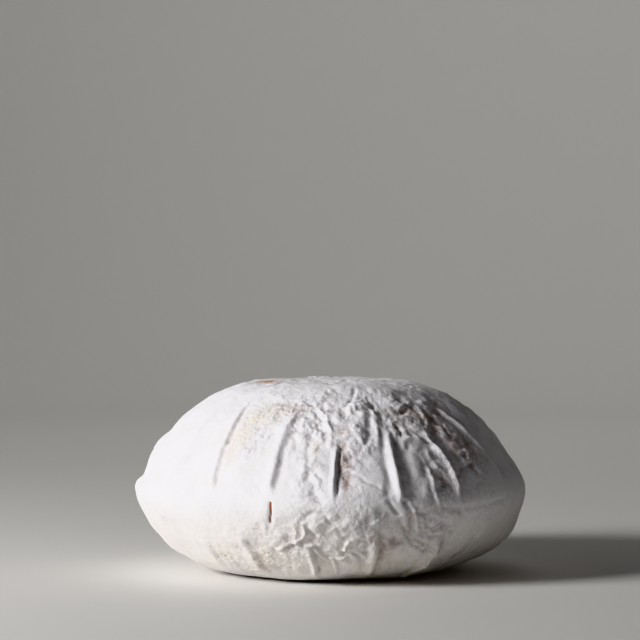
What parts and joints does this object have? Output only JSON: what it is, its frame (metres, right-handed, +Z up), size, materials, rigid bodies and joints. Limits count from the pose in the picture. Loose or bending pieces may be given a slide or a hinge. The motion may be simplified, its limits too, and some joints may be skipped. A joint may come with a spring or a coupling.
{
  "type": "cheese wheel",
  "caption": "Whole lens-shaped soft cheese wheel in a white mould rind, pleated all round by the gathered cloth it was drained in, with a domed top and a flat foot to rest on.",
  "frame": {"origin": "on the surface the cheese rests on, under the middle of its outline", "axes": "+Z up through the domed top, -Y towards the shown front, +X to its right"},
  "size_m": [0.195, 0.1934, 0.096],
  "materials": {
    "rind": "velvety dry white mould rind, matt, with cream and grey-blue patches, pinkish brown where it is rubbed in the grooves"
  },
  "bodies": {
    "root": {"cheese_wheel": "rind"}
  },
  "joints": []
}
